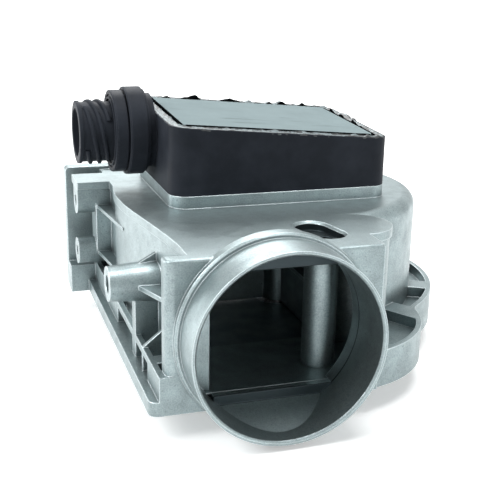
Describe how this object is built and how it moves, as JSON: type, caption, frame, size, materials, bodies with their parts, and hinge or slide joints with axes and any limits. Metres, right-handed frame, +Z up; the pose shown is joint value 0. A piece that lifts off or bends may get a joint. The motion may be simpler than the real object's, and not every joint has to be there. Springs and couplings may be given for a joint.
{
  "type": "mass airflow sensor",
  "caption": "Vane air flow sensor: cast housing with round outlet, ribbed skirt, square inlet flange, swinging flap, and a black electronics box with a round plug connector.",
  "frame": {"origin": "centre of the outlet pipe's mouth, on the plane of its rim", "axes": "+Y runs through the sensor from the outlet to the inlet flange, +Z up through the lid, +X toward the rounded damping chamber"},
  "size_m": [0.1465, 0.157, 0.1016],
  "materials": {
    "casting": "bare die casting, slightly dulled",
    "cover": "bare sheet",
    "flap": "bare die casting",
    "steel": "ground",
    "bearing": "ground rings",
    "buffer": "matt",
    "white_plastic": "matt",
    "spring_steel": "rolled strip",
    "brass": "turned",
    "screw": "zinc plated",
    "board": "fired",
    "black_plastic": "satin moulded",
    "sealant": "cured sealant",
    "lid": "satin sheet"
  },
  "bodies": {
    "housing": {"main_housing": "casting", "bottom_cover": "cover", "upper_bearing": "bearing", "lower_bearing": "bearing", "open_stop_buffer": "buffer", "closed_stop_buffer": "buffer", "tension_wheel": "white_plastic", "return_spring": "spring_steel", "wheel_clip": "spring_steel", "clip_screw": "screw", "resistor_board": "board", "board_screws": "screw", "pickup_contact": "spring_steel", "electronics_housing": "black_plastic", "frame_screws": "screw", "lid_sealant": "sealant", "lid_plate": "lid", "connector_pins": "brass", "board_leads": "spring_steel", "air_temperature_sensor": "white_plastic", "mixture_screw": "brass"},
    "flap": {"sensor_flap": "flap", "flap_shaft": "steel", "hub_pin": "steel", "spring_collet": "brass", "wiper_hub": "black_plastic", "wiper_arm": "spring_steel", "counterweight": "brass", "retaining_ring": "spring_steel"}
  },
  "joints": [
    {"name": "flap_hinge", "type": "hinge", "parent": "housing", "child": "flap", "pos_m": [0.033, 0.106, 0], "axis": [0, 0, 1], "range_deg": [0, 72], "stiffness_Nm_per_rad": 0.01, "springref_deg": -17.19}
  ]
}
